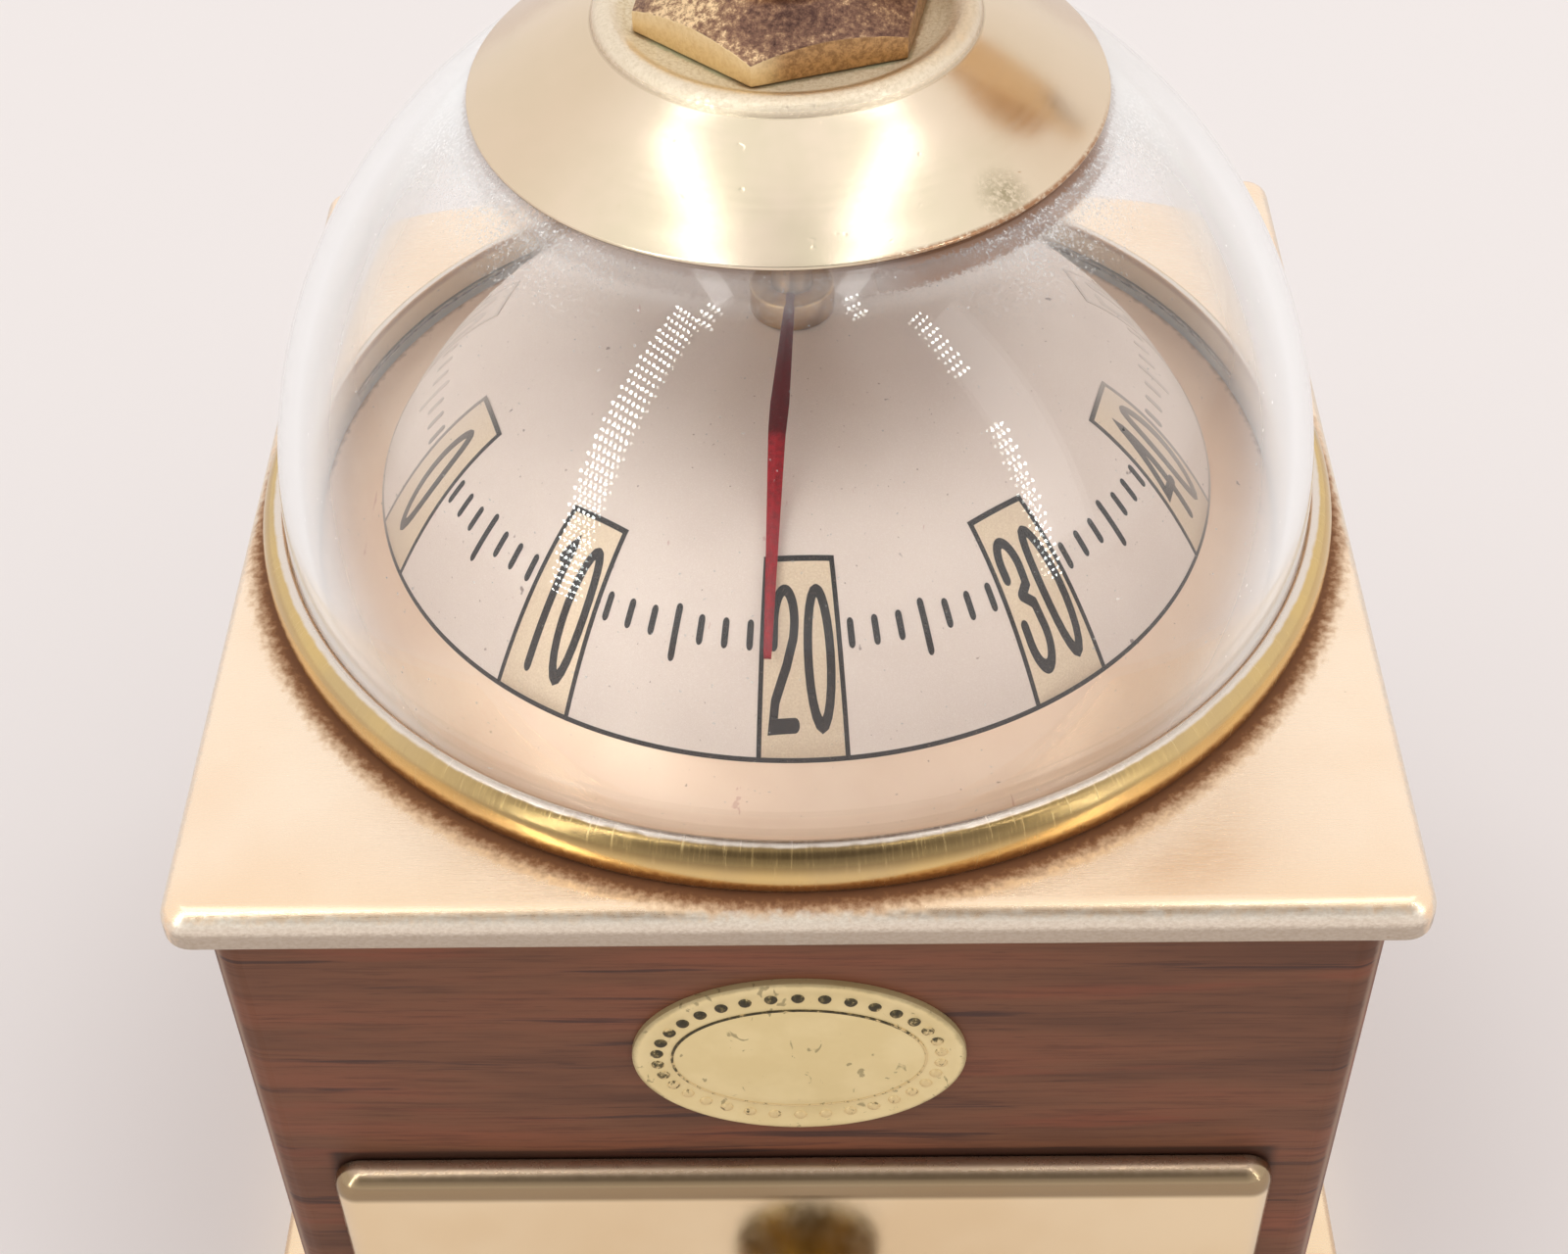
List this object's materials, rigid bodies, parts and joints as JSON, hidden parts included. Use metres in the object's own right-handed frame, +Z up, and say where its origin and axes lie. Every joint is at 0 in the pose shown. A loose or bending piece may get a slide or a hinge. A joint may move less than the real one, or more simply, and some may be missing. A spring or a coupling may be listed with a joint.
{
  "type": "wind-up kitchen timer",
  "caption": "Wind-up kitchen timer shaped like a small coffee mill, with a clear dome over a bell-shaped dial, a turning pointer, a crank and a drawer.",
  "frame": {"origin": "centre of the underside of the felt pad that the timer stands on", "axes": "+Z up along the spindle; the drawer and plaque face -Y; +X to the right seen from the front"},
  "size_m": [0.104, 0.1084, 0.162],
  "materials": {
    "felt": "matt wool felt",
    "board": "plain hardboard",
    "base_gold": "satin gold-coloured pressed sheet",
    "walnut_print": "walnut grain, satin",
    "raw_wood": "unfinished softwood",
    "plate_gold": "finely brushed gold-coloured sheet with a worn silver edge",
    "ring_gold": "scratched gold-coloured rolled ring",
    "cap_gold": "spun champagne gold, a little tarnish",
    "plaque_gold": "worn pale gold stamping",
    "clear_dome": "clear, glossy",
    "dial_print": "pinkish silver print with a bare gold edge",
    "pointer_red": "gloss red",
    "hub_brass": "turned, copper-brown patina on the chamfer",
    "movement_brass": "stamped",
    "steel": "turned",
    "spring_steel": "blued",
    "bell_steel": "polished",
    "knob_wood": "turned and lacquered",
    "tray_board": "plain tan",
    "drawer_gold": "satin gold-coloured sheet",
    "knob_brass": "turned, slightly dull"
  },
  "bodies": {
    "case": {"felt_pad": "felt", "bottom_board": "board", "base_plate": "base_gold", "base_screws": "steel", "case_shell": "walnut_print", "corner_blocks": "raw_wood", "shelf": "board", "drawer_runners": "raw_wood", "top_plate": "plate_gold", "plaque": "plaque_gold", "bezel_ring": "ring_gold", "dome": "clear_dome", "dial": "dial_print", "dome_cap": "cap_gold", "cap_bush": "movement_brass", "movement_top_plate": "movement_brass", "movement_bottom_plate": "movement_brass", "movement_pillars": "steel", "movement_spacers": "steel", "movement_screws": "steel", "spindle_bushes": "movement_brass", "mainspring": "spring_steel", "bell": "bell_steel", "bell_post": "steel", "bell_screw": "steel", "hammer_post": "steel", "hammer_spring": "spring_steel"},
    "crank": {"spindle": "steel", "great_wheel": "movement_brass", "strike_cam": "movement_brass", "pointer_hub": "hub_brass", "pointer": "pointer_red", "hex_hub": "hub_brass", "crank_arm": "cap_gold", "crank_nut": "hub_brass", "knob_pin": "steel"},
    "grip": {"crank_knob": "knob_wood"},
    "second_arbor": {"second_wheel": "movement_brass", "second_pinion": "steel"},
    "third_arbor": {"third_wheel": "movement_brass", "third_pinion": "steel"},
    "escape_arbor": {"escape_wheel": "movement_brass", "escape_pinion": "steel"},
    "lever": {"pallet_lever": "steel", "lever_arbor": "steel"},
    "balance": {"balance_wheel": "movement_brass", "balance_staff": "steel", "hairspring": "spring_steel"},
    "hammer": {"hammer_arm": "steel", "hammer_head": "hub_brass"},
    "drawer": {"drawer_tray": "tray_board", "drawer_front": "drawer_gold", "drawer_knob": "knob_brass", "knob_screw": "steel"}
  },
  "joints": [
    {"name": "crank_wind", "type": "hinge", "parent": "case", "child": "crank", "pos_m": [0, 0, 0.1], "axis": [0, 0, 1], "range_deg": [-67.5, 256.4]},
    {"name": "grip_spin", "type": "hinge", "parent": "crank", "child": "grip", "pos_m": [0.03994, 0.01298, 0.15], "axis": [0, 0, 1], "continuous": true},
    {"name": "second_spin", "type": "hinge", "parent": "case", "child": "second_arbor", "pos_m": [-0.01691, -0.00616, 0.073], "axis": [0, 0, 1], "continuous": true},
    {"name": "third_spin", "type": "hinge", "parent": "case", "child": "third_arbor", "pos_m": [-0.01952, 0.00862, 0.073], "axis": [0, 0, 1], "continuous": true},
    {"name": "escape_spin", "type": "hinge", "parent": "case", "child": "escape_arbor", "pos_m": [-0.00918, 0.01729, 0.073], "axis": [0, 0, 1], "continuous": true},
    {"name": "lever_rock", "type": "hinge", "parent": "case", "child": "lever", "pos_m": [-0.00031, 0.01886, 0.073], "axis": [0, 0, 1], "range_deg": [-3, 3]},
    {"name": "balance_swing", "type": "hinge", "parent": "case", "child": "balance", "pos_m": [0.00904, 0.02051, 0.073], "axis": [0, 0, 1], "range_deg": [-150, 150], "stiffness_Nm_per_rad": 0.000002},
    {"name": "hammer_swing", "type": "hinge", "parent": "case", "child": "hammer", "pos_m": [0.014, -0.028, 0.06], "axis": [0, 0, 1], "range_deg": [-8, 3], "stiffness_Nm_per_rad": 0.001},
    {"name": "drawer_slide", "type": "slide", "parent": "case", "child": "drawer", "axis": [0, -1, 0], "range_m": [0, 0.05]}
  ],
  "couplings": [
    {"joint": "second_spin", "follows": "crank_wind", "ratio": -5},
    {"joint": "third_spin", "follows": "crank_wind", "ratio": 20},
    {"joint": "escape_spin", "follows": "crank_wind", "ratio": -70}
  ]
}
